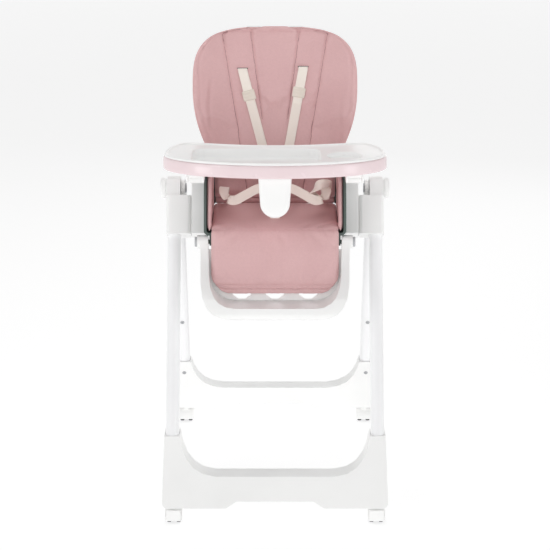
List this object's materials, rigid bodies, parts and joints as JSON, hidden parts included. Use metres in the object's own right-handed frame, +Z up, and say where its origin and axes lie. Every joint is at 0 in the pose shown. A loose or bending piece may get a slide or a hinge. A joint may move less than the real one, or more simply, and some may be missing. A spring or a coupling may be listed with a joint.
{
  "type": "baby high chair",
  "caption": "Folding baby high chair: A-frame on castors, sliding seat with reclining padded back, lifting leg rest, harness and a sliding tray with lift-off insert.",
  "frame": {"origin": "on the floor, midway between the four castors", "axes": "+X to the right seen from the front, +Y to the back, +Z up; the child faces -Y"},
  "size_m": [0.53, 0.7398, 1.0484],
  "materials": {
    "white_plastic": "satin white moulded plastic",
    "white_tube": "white powder coat, semi-gloss",
    "pink_plastic": "glossy pale pink moulded plastic",
    "shell_plastic": "dark grey moulded plastic, fine grain",
    "grey_plastic": "light grey moulded plastic",
    "tyre": "matt dark grey tread",
    "leatherette": "dusty pink leatherette, fine grain",
    "webbing": "cream woven webbing",
    "steel": "plated steel pins"
  },
  "bodies": {
    "front_frame": {"front_leg_left": "white_tube", "front_leg_right": "white_tube", "top_joint_left": "white_plastic", "top_joint_right": "white_plastic", "fold_pin_left": "steel", "fold_pin_right": "steel", "front_base": "white_plastic"},
    "rear_frame": {"rear_leg_left": "white_tube", "rear_leg_right": "white_tube", "rear_leg_cap_left": "white_plastic", "rear_leg_cap_right": "white_plastic", "rear_base": "white_plastic"},
    "seat": {"slider_housing_left": "white_plastic", "slider_housing_right": "white_plastic", "armrest_left": "white_plastic", "armrest_right": "white_plastic", "side_pad_left": "leatherette", "side_pad_right": "leatherette", "recline_pin_left": "steel", "recline_pin_right": "steel", "lap_strap_left": "webbing", "lap_strap_right": "webbing", "seat_shell": "shell_plastic", "seat_pad": "leatherette", "crotch_strap": "webbing", "buckle": "white_plastic"},
    "backrest": {"backrest_shell": "shell_plastic", "backrest_pad": "leatherette", "shoulder_strap_left": "webbing", "shoulder_strap_right": "webbing", "strap_adjuster_left": "webbing", "strap_adjuster_right": "webbing"},
    "recline_handle": {"recline_handle": "grey_plastic"},
    "leg_rest": {"footrest_frame": "white_plastic", "footrest_panel": "white_plastic", "calf_pad": "leatherette"},
    "tray": {"tray_base": "pink_plastic", "crotch_post": "white_plastic"},
    "tray_insert": {"tray_insert": "white_plastic"},
    "buckle_button": {"buckle_button": "grey_plastic"},
    "fold_knob_left": {"fold_knob_left": "white_plastic"},
    "height_trigger_left": {"height_trigger_left": "grey_plastic"},
    "leg_rest_button_left": {"leg_rest_button_left": "grey_plastic"},
    "tray_release_left": {"tray_release_left": "grey_plastic"},
    "fold_knob_right": {"fold_knob_right": "white_plastic"},
    "height_trigger_right": {"height_trigger_right": "grey_plastic"},
    "leg_rest_button_right": {"leg_rest_button_right": "grey_plastic"},
    "tray_release_right": {"tray_release_right": "grey_plastic"},
    "castor_front_left": {"castor_hood_front_left": "white_plastic"},
    "castor_wheels_front_left": {"castor_wheels_front_left": "tyre"},
    "castor_brake_front_left": {"castor_brake_front_left": "white_plastic"},
    "castor_front_right": {"castor_hood_front_right": "white_plastic"},
    "castor_wheels_front_right": {"castor_wheels_front_right": "tyre"},
    "castor_brake_front_right": {"castor_brake_front_right": "white_plastic"},
    "castor_rear_left": {"castor_hood_rear_left": "white_plastic"},
    "castor_wheels_rear_left": {"castor_wheels_rear_left": "tyre"},
    "castor_brake_rear_left": {"castor_brake_rear_left": "white_plastic"},
    "castor_rear_right": {"castor_hood_rear_right": "white_plastic"},
    "castor_wheels_rear_right": {"castor_wheels_rear_right": "tyre"},
    "castor_brake_rear_right": {"castor_brake_rear_right": "white_plastic"}
  },
  "joints": [
    {"name": "fold", "type": "hinge", "parent": "front_frame", "child": "rear_frame", "pos_m": [0, 0, 0.69], "axis": [-1, 0, 0], "range_deg": [0, 44]},
    {"name": "seat_height", "type": "slide", "parent": "front_frame", "child": "seat", "axis": [0, 0.4384, 0.8988], "range_m": [-0.3, 0]},
    {"name": "recline", "type": "hinge", "parent": "seat", "child": "backrest", "pos_m": [0, 0.092, 0.642], "axis": [-1, 0, 0], "range_deg": [0, 40]},
    {"name": "recline_release", "type": "slide", "parent": "backrest", "child": "recline_handle", "axis": [0, 0.1564, 0.9877], "range_m": [0, 0.01], "stiffness_N_per_m": 300},
    {"name": "leg_rest_lift", "type": "hinge", "parent": "seat", "child": "leg_rest", "pos_m": [0, -0.14, 0.597], "axis": [-1, 0, 0], "range_deg": [0, 60]},
    {"name": "tray_reach", "type": "slide", "parent": "seat", "child": "tray", "axis": [0, -1, 0], "range_m": [0, 0.07]},
    {"name": "tray_insert_lift", "type": "slide", "parent": "tray", "child": "tray_insert", "axis": [0, 0, 1], "range_m": [0, 0.1]},
    {"name": "buckle_press", "type": "slide", "parent": "seat", "child": "buckle_button", "axis": [0, 1, 0], "range_m": [0, 0.003], "stiffness_N_per_m": 300},
    {"name": "fold_knob_press_left", "type": "slide", "parent": "front_frame", "child": "fold_knob_left", "axis": [1, 0, 0], "range_m": [0, 0.0035], "stiffness_N_per_m": 300},
    {"name": "height_trigger_squeeze_left", "type": "slide", "parent": "seat", "child": "height_trigger_left", "axis": [0, -0.8988, 0.4384], "range_m": [0, 0.006], "stiffness_N_per_m": 300},
    {"name": "leg_rest_button_press_left", "type": "slide", "parent": "leg_rest", "child": "leg_rest_button_left", "axis": [1, 0, 0], "range_m": [0, 0.004], "stiffness_N_per_m": 300},
    {"name": "tray_release_squeeze_left", "type": "slide", "parent": "tray", "child": "tray_release_left", "axis": [1, 0, 0], "range_m": [0, 0.003], "stiffness_N_per_m": 300},
    {"name": "fold_knob_press_right", "type": "slide", "parent": "front_frame", "child": "fold_knob_right", "axis": [-1, 0, 0], "range_m": [0, 0.0035], "stiffness_N_per_m": 300},
    {"name": "height_trigger_squeeze_right", "type": "slide", "parent": "seat", "child": "height_trigger_right", "axis": [0, -0.8988, 0.4384], "range_m": [0, 0.006], "stiffness_N_per_m": 300},
    {"name": "leg_rest_button_press_right", "type": "slide", "parent": "leg_rest", "child": "leg_rest_button_right", "axis": [-1, 0, 0], "range_m": [0, 0.004], "stiffness_N_per_m": 300},
    {"name": "tray_release_squeeze_right", "type": "slide", "parent": "tray", "child": "tray_release_right", "axis": [-1, 0, 0], "range_m": [0, 0.003], "stiffness_N_per_m": 300},
    {"name": "castor_swivel_front_left", "type": "hinge", "parent": "front_frame", "child": "castor_front_left", "pos_m": [-0.227, -0.332, 0.045], "axis": [0, 0, 1], "continuous": true},
    {"name": "castor_roll_front_left", "type": "hinge", "parent": "castor_front_left", "child": "castor_wheels_front_left", "pos_m": [-0.227, -0.342, 0.017], "axis": [1, 0, 0], "continuous": true},
    {"name": "castor_brake_front_left", "type": "hinge", "parent": "castor_front_left", "child": "castor_brake_front_left", "pos_m": [-0.227, -0.3655, 0.0345], "axis": [-1, 0, 0], "range_deg": [0, 25]},
    {"name": "castor_swivel_front_right", "type": "hinge", "parent": "front_frame", "child": "castor_front_right", "pos_m": [0.227, -0.332, 0.045], "axis": [0, 0, 1], "continuous": true},
    {"name": "castor_roll_front_right", "type": "hinge", "parent": "castor_front_right", "child": "castor_wheels_front_right", "pos_m": [0.227, -0.342, 0.017], "axis": [1, 0, 0], "continuous": true},
    {"name": "castor_brake_front_right", "type": "hinge", "parent": "castor_front_right", "child": "castor_brake_front_right", "pos_m": [0.227, -0.3655, 0.0345], "axis": [-1, 0, 0], "range_deg": [0, 25]},
    {"name": "castor_swivel_rear_left", "type": "hinge", "parent": "rear_frame", "child": "castor_rear_left", "pos_m": [-0.227, 0.332, 0.045], "axis": [0, 0, 1], "continuous": true},
    {"name": "castor_roll_rear_left", "type": "hinge", "parent": "castor_rear_left", "child": "castor_wheels_rear_left", "pos_m": [-0.227, 0.342, 0.017], "axis": [1, 0, 0], "continuous": true},
    {"name": "castor_brake_rear_left", "type": "hinge", "parent": "castor_rear_left", "child": "castor_brake_rear_left", "pos_m": [-0.227, 0.3655, 0.0345], "axis": [1, 0, 0], "range_deg": [0, 25]},
    {"name": "castor_swivel_rear_right", "type": "hinge", "parent": "rear_frame", "child": "castor_rear_right", "pos_m": [0.227, 0.332, 0.045], "axis": [0, 0, 1], "continuous": true},
    {"name": "castor_roll_rear_right", "type": "hinge", "parent": "castor_rear_right", "child": "castor_wheels_rear_right", "pos_m": [0.227, 0.342, 0.017], "axis": [1, 0, 0], "continuous": true},
    {"name": "castor_brake_rear_right", "type": "hinge", "parent": "castor_rear_right", "child": "castor_brake_rear_right", "pos_m": [0.227, 0.3655, 0.0345], "axis": [1, 0, 0], "range_deg": [0, 25]}
  ]
}
